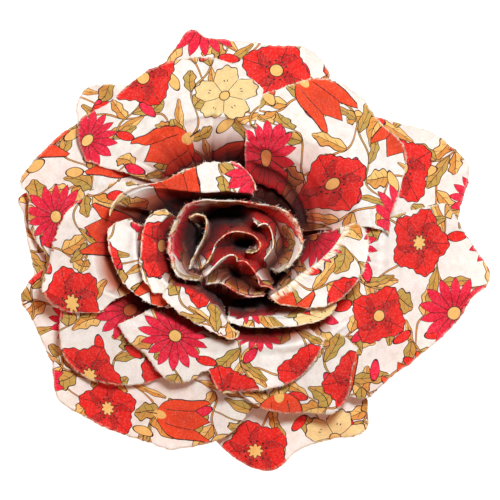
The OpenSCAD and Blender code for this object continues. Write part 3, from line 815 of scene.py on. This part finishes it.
def sweeping_folds(name, p, uu, across, up, seed):
    """Heights of the folds that sweep round beside the collar, and the shade painted between them."""
    begin, wide_a, wide_b, count, high = SWEEP[name]
    place = (np.hypot(p[..., 0], p[..., 1]) / FLOWER_R * 100 - begin) / mix(wide_a, wide_b, uu)
    place = place + 0.16 * noise(across / 14, up / 30, seed + 903)
    place = place + 0.05 * noise(across / 4, up / 9, seed + 901)
    ridge = (0.5 + 0.5 * np.cos(place * count * math.tau)) ** 1.3
    ridge = ridge * (0.75 + 0.25 * noise(across / 7, place * 4, seed + 902))
    window = ramp(place * 6) * ramp((1 - place) * 3) * ramp(np.minimum(uu, 1 - uu) * 8)
    # the second value is shade painted in the valleys between the folds
    return high * ridge * window, 0.8 * (1 - ridge) * window


def ragged_sides(p, up, seed):
    """Lets both sides of a petal wander as cut by hand, the more the nearer to the cut edge."""
    for side, step in ((0, 1), (-1, -1)):
        away = p[side] - p[side + step]
        away *= (np.linspace(0, 1, len(away)) ** 2 / np.linalg.norm(away, axis=1))[:, None]
        wander = 0.5 * noise(up[side] / 4, seed + side, seed + 700)
        wander = wander + 0.2 * noise(up[side] / 0.8, side, seed + 800)
        for k, share in enumerate((1, 0.6, 0.25)):
            p[side + step * k] += away * (wander * share)[:, None]


def painted_shade_at(name, whorl, p, below):
    """Shade painted at each point by how far below the rim it lies: up to 1 it is warm, and up to 2 it is
    dark.
    """
    start, over = PAINTED_SHADE_FROM.get(name) or PAINTED_SHADE_FROM[whorl]
    painted_shade = ramp((below - start) / over) + ramp((below - start - over) / PAINTED_DARK_OVER)
    if whorl == "heart":
        # painted shade, darker beside the deepest place of the heart
        x, y, wide, tall, _ = HOLES[0]
        near = np.exp(-((p[..., 0] / FLOWER_R * 100 - x) / (1.6 * wide)) ** 2
                      - ((p[..., 1] / FLOWER_R * 100 - y) / (1.3 * tall)) ** 2)
        painted_shade = painted_shade + 1.3 * near * ramp((below - 0.8) / 2.5)
    return painted_shade


def build_petal(name, row, surface, conical, seed):
    """A petal's cloth in place of its CAD node, with its folds, rim, ruffle, ragged edges and print."""
    whorl = row[0] if conical else "heart"
    fine = name[:3] == "mid" or not conical
    uu, vv = grid_of(surface, row, STEP * (FINE if fine else 1))
    p, lip = surface(row, uu, vv)
    across, up = arcs(p)
    mid, n = across[:, -1:], normals(p)
    face = np.sign(n[..., 2].mean())
    crest_at = int(np.argmax((lip > 0.02).any(0)))
    uv = fan_cut(p, up, crest_at) if conical else band_cut(across, up)
    below = (up[:, crest_at][:, None] if conical else up[:, -1:]) - up
    pale = PALE.get(name) or PALE.get(whorl, 1)
    raw = ramp(1 - (up[:, -1:] - up) / RAW.get(name, RAW["usual"])) * pale

    d = small_folds(name, across, up, (1 - lip) if conical else 1, seed)
    between = 0
    if name in SWEEP:
        sweep, between = sweeping_folds(name, p, uu, across, up, seed)
        d = d + sweep * face
    if conical:
        rise, lean = RIM.get(name, (0, 0))
        frays = rise > RIM_FRAYS
        bell = np.exp(-((below / (RIM_W if frays else CREST_W)) ** 2))
        d = d + CREST_BULGE * bell * face
        p[..., :2] -= unit(p[..., :2]) * (bell * lean)[..., None]
        p[..., 2] += bell * rise
        if frays:
            raw = np.maximum(raw, np.clip((bell - 0.35) * 6, 0, 2.1))
    p = p + n * d[..., None]
    if conical:
        ruffle = 0.3 + np.maximum(noise(mid / 6.5, 0, seed + 300), 0) * 1.7
        ruffle = ruffle + np.maximum(noise(mid / 2.8, 0, seed + 400), 0) * 0.5
        p[..., 2] += ruffle * lip**2.2
    ragged = noise(mid / 0.6, 0, seed + 500) * RAGGED.get(whorl, RAGGED["usual"])
    ragged = ragged + noise(mid / 1.9, 0, seed + 600) * EDGE_WANDER
    p[:, -1] += unit(p[:, -1] - p[:, -2]) * ragged

    # painted shade below the crest, and between the sweeping folds
    painted_shade = painted_shade_at(name, whorl, p, below) + between
    if conical:
        ragged_sides(p, up, seed)
        beside = np.minimum(across, across[-1:] - across)
        raw = np.maximum(raw, ramp(1 - beside / RAW_SIDE) * ramp(up / up[:, -1:] * 3 - 1) * pale)
    rng = np.random.default_rng(PRINT.get(name, seed))
    shift, turn = rng.uniform(-90, 90, 2), rng.uniform(0, math.tau)
    c, s = math.cos(turn), math.sin(turn)
    uv = uv @ np.array([[c, s], [-s, c]]) + shift
    threads = THREADS.get(name) or THREADS["petal" if conical else "heart"]
    make_sheet(name, p + AXIS, uv, raw, painted_shade, 1.0 if conical else 0.0, threads,
               (float(across[-1].max()), float(up[:, -1].max())), True)


def nearest_on(x, y, line):
    """Distance from places to a polyline, how far along it the nearest point is, and its length."""
    best, where, run = np.full(x.shape, 1e9), np.zeros(x.shape), 0.0
    for a, b in zip(line[:-1], line[1:]):
        ab = b - a
        size = np.linalg.norm(ab)
        t = np.clip(((x - a[0]) * ab[0] + (y - a[1]) * ab[1]) / size**2, 0, 1)
        d = np.hypot(x - a[0] - ab[0] * t, y - a[1] - ab[1] * t)
        where = np.where(d < best, run + t * size, where)
        best = np.minimum(best, d)
        run += size
    return best, where, run


def build_gathers():
    """Cloth gathered in the depth of the heart, falling in pleats from the rims of its petals."""
    steps, samples = np.linspace(-1, 1, GATHER_GRID), np.linspace(0, 1, 40)
    a, b = np.meshgrid(steps, steps, indexing="ij")
    x, y = GATHER_R * a * np.sqrt(1 - b * b / 2), GATHER_R * b * np.sqrt(1 - a * a / 2)
    height, highest = np.full(x.shape, GATHER_Z), np.zeros(x.shape)
    # the cloth falls in pleats from a little below each rim, and further at the holes
    for k, name in enumerate(("core_heart", "core_front", "core_side", "core_under")):
        rim, _ = core_surface(CORE[name], samples, np.ones(len(samples)))
        d, where, run = nearest_on(x, y, rim[:, :2])
        top = np.interp(where / run, samples, rim[:, 2])
        pleat = 0.9 * noise(where / 1.3, d / 7 + k, 700 + k) * np.minimum(d, 1)
        height = np.maximum(height, top - 2.2 - 3.8 * d**0.85 + pleat)
        highest = np.maximum(highest, top)
    for hole_x, hole_y, wide, tall, depth in HOLES:
        place = ((x / FLOWER_R * 100 - hole_x) / wide) ** 2 + ((y / FLOWER_R * 100 - hole_y) / tall) ** 2
        height = height - depth * np.exp(-place**1.5)
    p = np.stack([x, y, np.maximum(height, BASE_Z + 1)], -1) + AXIS
    uv = np.stack([x, y], -1) * 0.9 + [19.0, 24.7]
    # cut as wide as a disc of the same area
    wide = 2 * math.sqrt(area_of(p) / math.pi)
    # painted shade, warm and then dark, the further the cloth lies below the rims
    painted_shade = ramp((highest - height - 1.5) / 7) + ramp((highest - height - 8) / 6)
    make_sheet("heart_gathers", p, uv, np.zeros(x.shape), painted_shade, 0.0, THREADS["heart_gathers"],
               (wide, wide), False)


for k, (name, row) in enumerate(PETAL.items()):
    build_petal(name, row, petal_surface, True, 40 + k)
for k, (name, row) in enumerate(CORE.items()):
    build_petal(name, row, core_surface, False, 80 + k)
build_gathers()

# ---- felt and steel --------------------------------------------------------------------------


def object_vector(tree):
    node = tree.nodes.new("ShaderNodeTexCoord")
    return node.outputs["Object"]


def noise3(tree, vector, scale, detail):
    node = tree.nodes.new("ShaderNodeTexNoise")
    put(tree, node, "Scale", scale)
    put(tree, node, "Detail", detail)
    put(tree, node, "Vector", vector)
    return Value(tree, node.outputs["Fac"])


def felt_material():
    material, tree, shader = new_material("dark_red_felt", Roughness=0.95, Sheen_Weight=0.35,
                                          Sheen_Roughness=0.6)
    place = object_vector(tree)
    fibre, cloud = noise3(tree, place, 2600, 4), noise3(tree, place, 260, 2)
    colour = blend(tree, rgb("5e1420"), rgb("86222f"), fibre)
    put(tree, shader, "Base Color", blend(tree, colour, rgb("481019"), cloud * 0.5))
    bump_of(tree, shader, fibre + cloud * 0.6, 0.00025)
    return material


def steel_material():
    material, tree, shader = new_material("needle_steel", Metallic=1.0, Roughness=0.24)
    place = object_vector(tree)
    drawn, stain = noise3(tree, place, 900, 3), noise3(tree, place, 120, 1)
    put(tree, shader, "Base Color", blend(tree, rgb("c9c9cb"), rgb("a3a1a0"), stain))
    put(tree, shader, "Roughness", 0.18 + drawn * 0.2)
    bump_of(tree, shader, drawn, 0.00002, 0.6)
    return material


def dress(node, material):
    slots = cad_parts[node].data.materials
    slots.clear()
    slots.append(material)


dress("backing", felt_material())
dress("pin", steel_material())

# ---- stage -----------------------------------------------------------------------------------

# The point that the camera looks down on, how far away it is, and the width of its view, in metres
LOOK_X, LOOK_Y, LOOK_Z = -0.0006, 0.00013, 0.020
VIEW_WIDTH, AWAY = 0.115, 1.5
SENSOR = 36
# Place, diameter, power and colour of each light
LIGHTS = {"key": ((0.1, 0.22, 0.9), 0.15, 9.1, (0.95, 1, 1.03)),
          "fill": ((-0.4, -0.4, 0.8), 0.7, 1.3, (1, 0.5, 0.33))}
WORLD_COLOUR, WORLD_STRENGTH = (1, 0.4, 0.22, 1), 0.14
FLOOR_R, FLOOR_SIDES, FLOOR_COLOUR, FLOOR_GLOW = 4, 64, (0.5, 0.52, 0.53, 1), 0.8


def make_camera():
    camera = bpy.data.cameras.new("camera")
    obj = add_object("camera", camera)
    obj.location = (LOOK_X, LOOK_Y, LOOK_Z + AWAY)
    camera.sensor_width = SENSOR
    camera.lens = SENSOR * AWAY / VIEW_WIDTH
    camera.clip_end = 10
    bpy.context.scene.camera = obj


def make_floor():
    mesh = bpy.data.meshes.new("floor")
    turns = [math.tau * k / FLOOR_SIDES for k in range(FLOOR_SIDES)]
    ring = [(FLOOR_R * math.cos(turn), FLOOR_R * math.sin(turn), 0) for turn in turns]
    mesh.from_pydata(ring, [], [list(range(FLOOR_SIDES))])
    obj = add_object("floor", mesh)
    material, _, _ = new_material("floor_white", Roughness=0.9, Base_Color=FLOOR_COLOUR,
                                  Emission_Color=(1, 1, 1, 1), Emission_Strength=FLOOR_GLOW)
    mesh.materials.append(material)


def area_light(name, place, size, power, colour):
    """A round light that shines on the part."""
    light = bpy.data.lights.new(name, "AREA")
    light.shape, light.size, light.energy, light.color = "DISK", size, power, colour
    obj = add_object(name, light)
    obj.location = place
    obj.rotation_mode = "QUATERNION"
    obj.rotation_quaternion = (Vector((0, 0, 0.01)) - Vector(place)).to_track_quat("-Z", "Y")


make_camera()
make_floor()
for name, settings in LIGHTS.items():
    area_light(name, *settings)

world = bpy.data.worlds.new("studio")
scene.world = world
world.use_nodes = True
background = world.node_tree.nodes["Background"]
put(world.node_tree, background, "Color", WORLD_COLOUR)
put(world.node_tree, background, "Strength", WORLD_STRENGTH)
scene.view_settings.view_transform = "Standard"
scene.view_settings.look = "Medium High Contrast"
